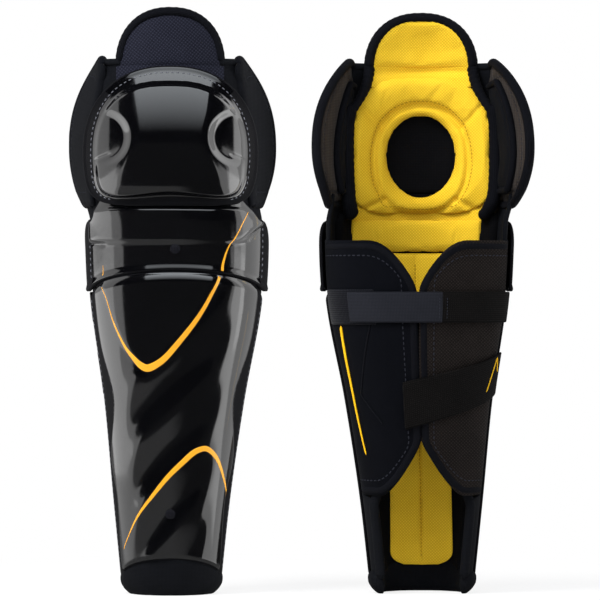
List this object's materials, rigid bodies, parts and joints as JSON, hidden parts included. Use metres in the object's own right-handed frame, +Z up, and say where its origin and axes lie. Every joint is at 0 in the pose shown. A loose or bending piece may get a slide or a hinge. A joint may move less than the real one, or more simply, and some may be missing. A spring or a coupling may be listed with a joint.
{
  "type": "hockey shin guards",
  "caption": "Ice hockey shin guards: hard knee cap and shin shells over a padded liner, with folding knee wings, thigh flap, calf wraps and strap closures",
  "frame": {"origin": "bottom centre of the pair's box at rest, on the floor halfway between the guards", "axes": "+Z up the leg, -Y the way the first guard's shin faces, +X from the first guard to the second"},
  "size_m": [0.3964, 0.155, 0.4952],
  "materials": {
    "shell": "gloss moulded shell",
    "rivet": "gloss",
    "foam": "matte foam",
    "yellow_liner": "brushed mesh fabric",
    "black_fabric": "woven",
    "wing_lining": "brushed",
    "neoprene": "smooth matte",
    "mesh": "coarse mesh",
    "webbing": "woven elastic",
    "hook_tab": "smooth",
    "piping": "cord"
  },
  "bodies": {
    "shin_bodies": {"shin_shell_1": "shell", "upper_shin_plate_1": "shell", "shell_rivets_1": "rivet", "shin_foam_1": "foam", "shin_liner_1": "yellow_liner", "liner_band_1": "yellow_liner", "ankle_bolster_1": "black_fabric", "side_gussets_1": "black_fabric", "shin_shell_2": "shell", "upper_shin_plate_2": "shell", "shell_rivets_2": "rivet", "shin_foam_2": "foam", "shin_liner_2": "yellow_liner", "liner_band_2": "yellow_liner", "ankle_bolster_2": "black_fabric", "side_gussets_2": "black_fabric"},
    "knee_1": {"knee_cap_1": "shell", "knee_foam_1": "foam", "knee_ring_1": "yellow_liner", "knee_side_cushions_1": "yellow_liner", "knee_brow_1": "yellow_liner"},
    "thigh_flap_1": {"thigh_flap_1": "black_fabric", "thigh_flap_hem_1": "black_fabric", "thigh_liner_1": "yellow_liner"},
    "wing_left_1": {"wing_left_1": "black_fabric", "wing_pad_left_1": "wing_lining", "wing_tab_1": "webbing"},
    "wing_right_1": {"wing_right_1": "black_fabric", "wing_pad_right_1": "wing_lining"},
    "wrap_left_1": {"calf_wrap_left_1": "mesh"},
    "wrap_right_1": {"calf_wrap_right_1": "neoprene", "wrap_piping_1": "piping", "loop_patch_1": "webbing"},
    "upper_strap_1": {"upper_strap_1": "webbing", "upper_strap_tab_1": "hook_tab"},
    "lower_strap_1": {"lower_strap_1": "webbing", "lower_strap_hook_1": "hook_tab"},
    "knee_2": {"knee_cap_2": "shell", "knee_foam_2": "foam", "knee_ring_2": "yellow_liner", "knee_side_cushions_2": "yellow_liner", "knee_brow_2": "yellow_liner"},
    "thigh_flap_2": {"thigh_flap_2": "black_fabric", "thigh_flap_hem_2": "black_fabric", "thigh_liner_2": "yellow_liner"},
    "wing_left_2": {"wing_left_2": "black_fabric", "wing_pad_left_2": "wing_lining", "wing_tab_2": "webbing"},
    "wing_right_2": {"wing_right_2": "black_fabric", "wing_pad_right_2": "wing_lining"},
    "wrap_left_2": {"calf_wrap_left_2": "mesh"},
    "wrap_right_2": {"calf_wrap_right_2": "neoprene", "wrap_piping_2": "piping", "loop_patch_2": "webbing"},
    "upper_strap_2": {"upper_strap_2": "webbing", "upper_strap_tab_2": "hook_tab"},
    "lower_strap_2": {"lower_strap_2": "webbing", "lower_strap_hook_2": "hook_tab"}
  },
  "joints": [
    {"name": "knee_flex_1", "type": "hinge", "parent": "shin_bodies", "child": "knee_1", "pos_m": [-0.10917, 0, 0.329], "axis": [1, 0, 0], "range_deg": [-15, 0], "stiffness_Nm_per_rad": 2},
    {"name": "thigh_flap_fold_1", "type": "hinge", "parent": "knee_1", "child": "thigh_flap_1", "pos_m": [-0.10917, -0.05931, 0.4442], "axis": [1, 0, 0], "range_deg": [-6, 60], "stiffness_Nm_per_rad": 0.4},
    {"name": "wing_left_swing_1", "type": "hinge", "parent": "knee_1", "child": "wing_left_1", "pos_m": [-0.1816, -0.02722, 0.35], "axis": [0.0976, -0.1442, 0.9847], "range_deg": [-8, 18], "stiffness_Nm_per_rad": 0.5},
    {"name": "wing_right_swing_1", "type": "hinge", "parent": "knee_1", "child": "wing_right_1", "pos_m": [-0.04367, -0.03747, 0.42], "axis": [0.0976, 0.1442, -0.9847], "range_deg": [-8, 9], "stiffness_Nm_per_rad": 0.5},
    {"name": "wrap_left_open_1", "type": "hinge", "parent": "shin_bodies", "child": "wrap_left_1", "pos_m": [-0.16173, 0.00458, 0.12], "axis": [-0.1065, 0.0022, 0.9943], "range_deg": [0, 75]},
    {"name": "wrap_right_open_1", "type": "hinge", "parent": "shin_bodies", "child": "wrap_right_1", "pos_m": [-0.02914, 0.00496, 0.29], "axis": [-0.1437, -0.0022, -0.9896], "range_deg": [0, 50]},
    {"name": "upper_strap_peel_1", "type": "hinge", "parent": "wrap_left_1", "child": "upper_strap_1", "pos_m": [-0.16707, 0.00733, 0.165], "axis": [-0.1378, 0.0021, 0.9905], "range_deg": [0, 60]},
    {"name": "lower_strap_peel_1", "type": "hinge", "parent": "wrap_left_1", "child": "lower_strap_1", "pos_m": [-0.16707, 0.00733, 0.165], "axis": [-0.1378, 0.0021, 0.9905], "range_deg": [0, 60]},
    {"name": "knee_flex_2", "type": "hinge", "parent": "shin_bodies", "child": "knee_2", "pos_m": [0.10383, 0, 0.329], "axis": [-1, 0, 0], "range_deg": [-15, 0], "stiffness_Nm_per_rad": 2},
    {"name": "thigh_flap_fold_2", "type": "hinge", "parent": "knee_2", "child": "thigh_flap_2", "pos_m": [0.10383, 0.05931, 0.4442], "axis": [-1, 0, 0], "range_deg": [-6, 60], "stiffness_Nm_per_rad": 0.4},
    {"name": "wing_left_swing_2", "type": "hinge", "parent": "knee_2", "child": "wing_left_2", "pos_m": [0.18061, 0.02722, 0.35], "axis": [-0.1033, 0.1441, 0.9841], "range_deg": [-8, 18], "stiffness_Nm_per_rad": 0.5},
    {"name": "wing_right_swing_2", "type": "hinge", "parent": "knee_2", "child": "wing_right_2", "pos_m": [0.0344, 0.03747, 0.42], "axis": [-0.1033, -0.1441, -0.9841], "range_deg": [-8, 9], "stiffness_Nm_per_rad": 0.5},
    {"name": "wrap_left_open_2", "type": "hinge", "parent": "shin_bodies", "child": "wrap_left_2", "pos_m": [0.15955, -0.00458, 0.12], "axis": [0.1128, -0.0022, 0.9936], "range_deg": [0, 75]},
    {"name": "wrap_right_open_2", "type": "hinge", "parent": "shin_bodies", "child": "wrap_right_2", "pos_m": [0.019, -0.00496, 0.29], "axis": [0.1522, 0.0022, -0.9884], "range_deg": [0, 50]},
    {"name": "upper_strap_peel_2", "type": "hinge", "parent": "wrap_left_2", "child": "upper_strap_2", "pos_m": [0.16521, -0.00733, 0.165], "axis": [0.1459, -0.0021, 0.9893], "range_deg": [0, 60]},
    {"name": "lower_strap_peel_2", "type": "hinge", "parent": "wrap_left_2", "child": "lower_strap_2", "pos_m": [0.16521, -0.00733, 0.165], "axis": [0.1459, -0.0021, 0.9893], "range_deg": [0, 60]}
  ],
  "couplings": [
    {"joint": "upper_strap_peel_1", "follows": "wrap_right_open_1", "ratio": 1.2},
    {"joint": "lower_strap_peel_1", "follows": "wrap_right_open_1", "ratio": 1.2},
    {"joint": "upper_strap_peel_2", "follows": "wrap_right_open_2", "ratio": 1.2},
    {"joint": "lower_strap_peel_2", "follows": "wrap_right_open_2", "ratio": 1.2}
  ]
}
